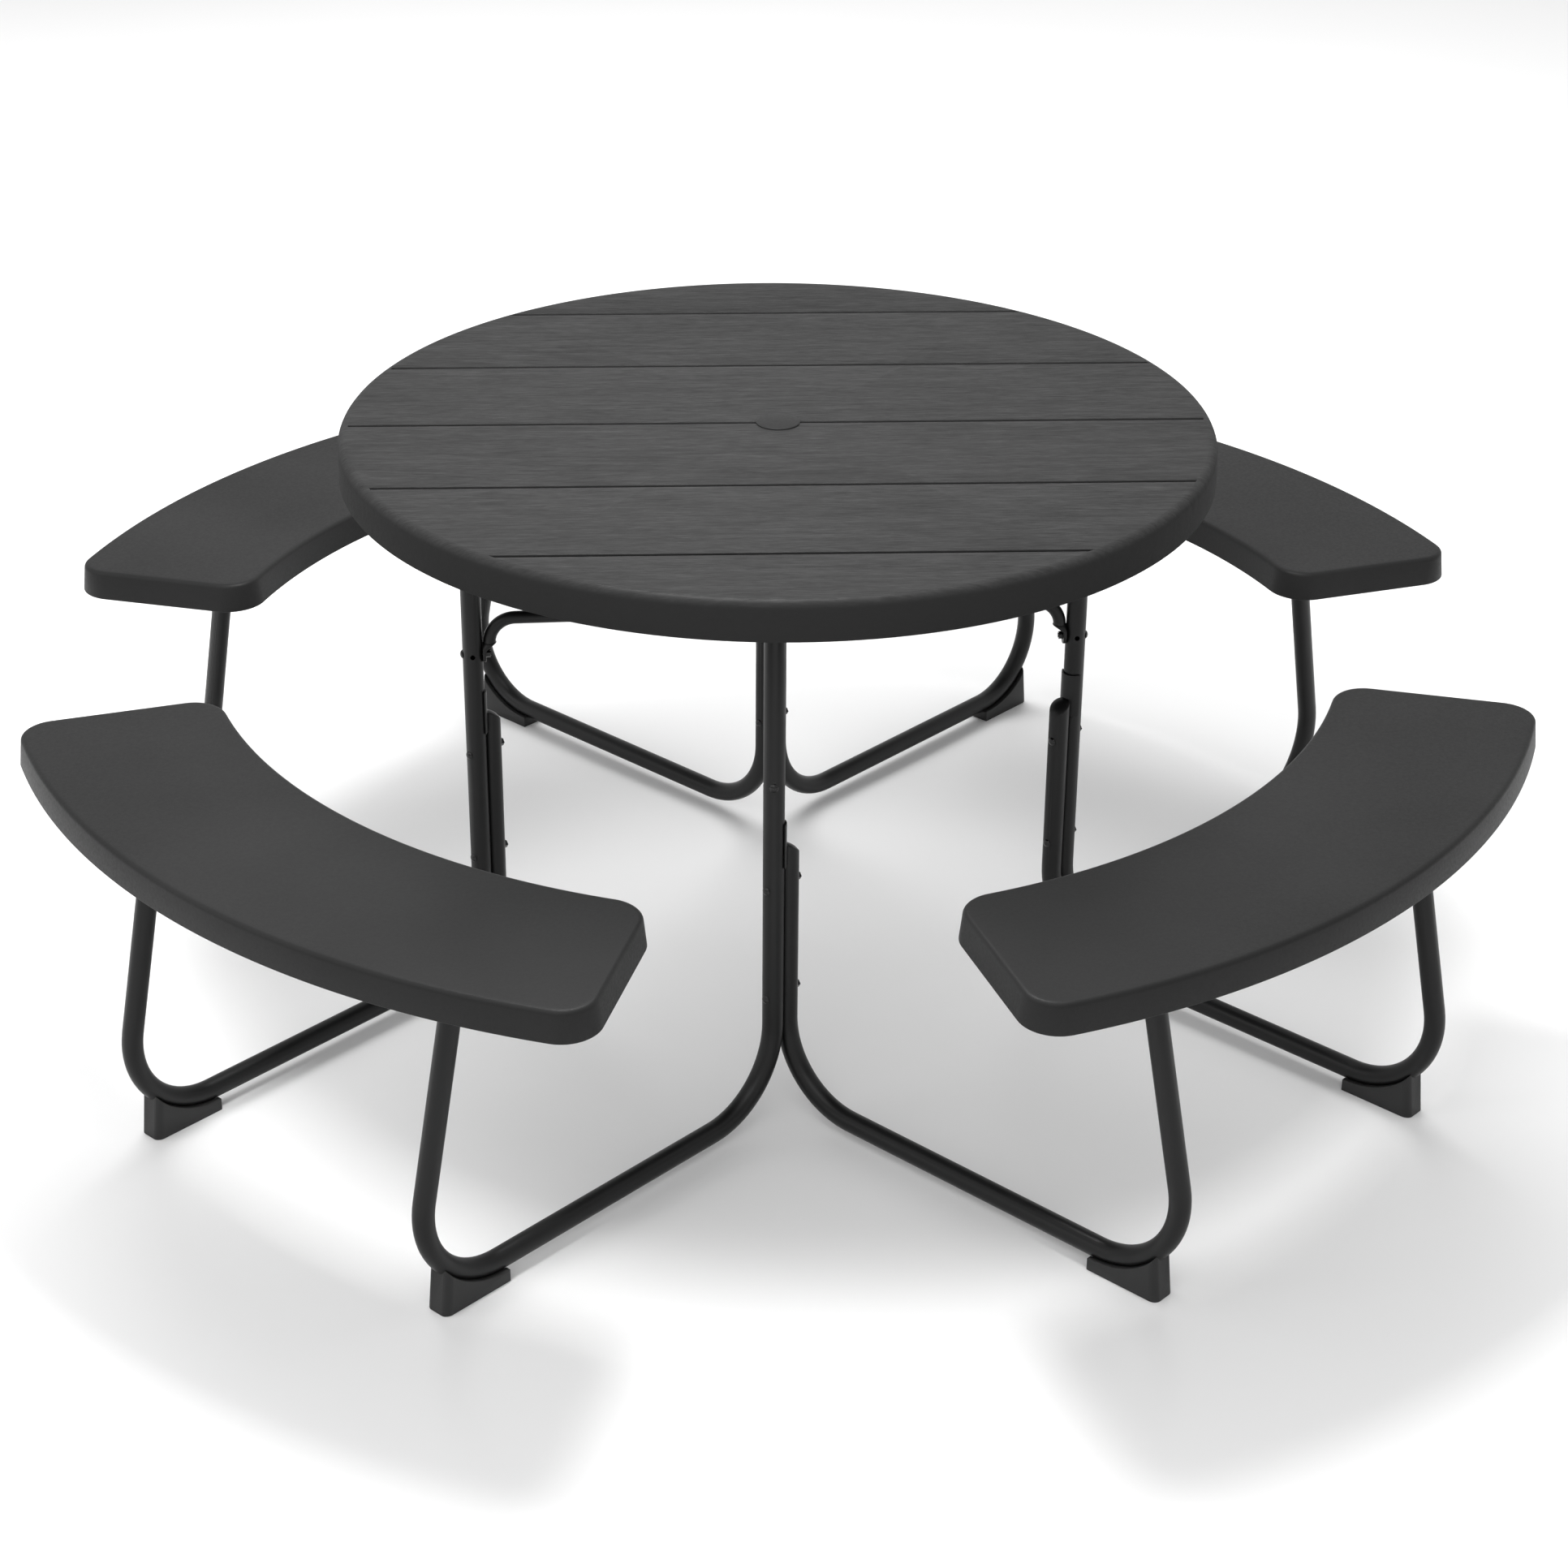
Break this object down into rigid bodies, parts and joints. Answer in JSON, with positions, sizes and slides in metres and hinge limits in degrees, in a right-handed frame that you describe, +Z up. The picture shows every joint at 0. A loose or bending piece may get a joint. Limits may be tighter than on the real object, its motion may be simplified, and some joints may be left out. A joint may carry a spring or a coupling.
{
  "type": "round picnic table with attached benches",
  "caption": "Round outdoor picnic table on a bent steel tube frame, with curved attached benches and a capped umbrella hole.",
  "frame": {"origin": "on the floor, under the centre of the round top", "axes": "+Z up; the four posts stand on the X and Y axes and the four benches on the diagonals between them"},
  "size_m": [1.8046, 1.8046, 0.755],
  "materials": {
    "top_plastic": "mid grey moulded plastic tabletop with a fine straight grain, matte",
    "seat_plastic": "dark grey moulded plastic bench with a fine pebble, matte",
    "cap_plastic": "dark grey smooth moulded plug",
    "frame_steel": "black satin powder coat on steel tube",
    "foot_plastic": "black moulded plastic glide",
    "fastener_steel": "black coated steel screws and nuts"
  },
  "bodies": {
    "table": {"tabletop": "top_plastic", "umbrella_ring": "frame_steel", "seat_sw": "seat_plastic", "seat_se": "seat_plastic", "seat_ne": "seat_plastic", "seat_nw": "seat_plastic", "tall_loop_sw_s": "frame_steel", "tall_loop_sw_w": "frame_steel", "tall_loop_ne_n": "frame_steel", "tall_loop_ne_e": "frame_steel", "short_loop_se_s": "frame_steel", "short_loop_se_e": "frame_steel", "short_loop_nw_w": "frame_steel", "short_loop_nw_n": "frame_steel", "foot_sw_s": "foot_plastic", "foot_sw_w": "foot_plastic", "foot_ne_n": "foot_plastic", "foot_ne_e": "foot_plastic", "foot_se_s": "foot_plastic", "foot_se_e": "foot_plastic", "foot_nw_w": "foot_plastic", "foot_nw_n": "foot_plastic", "seat_plate_sw_s": "frame_steel", "seat_plate_sw_w": "frame_steel", "seat_plate_ne_n": "frame_steel", "seat_plate_ne_e": "frame_steel", "seat_plate_se_s": "frame_steel", "seat_plate_se_e": "frame_steel", "seat_plate_nw_w": "frame_steel", "seat_plate_nw_n": "frame_steel", "post_flange_s": "frame_steel", "post_flange_w": "frame_steel", "post_flange_n": "frame_steel", "post_flange_e": "frame_steel", "brace_arm_s": "frame_steel", "brace_arm_w": "frame_steel", "brace_arm_n": "frame_steel", "brace_arm_e": "frame_steel", "pair_bolts": "fastener_steel", "pair_nuts": "fastener_steel", "brace_bolts": "fastener_steel", "brace_nuts": "fastener_steel", "flange_screws": "fastener_steel", "seat_screws": "fastener_steel", "ring_screws": "fastener_steel", "foot_screws": "fastener_steel"},
    "cap": {"umbrella_cap": "cap_plastic"}
  },
  "joints": [
    {"name": "cap_lift", "type": "slide", "parent": "table", "child": "cap", "axis": [0, 0, 1], "range_m": [0, 0.3]}
  ]
}
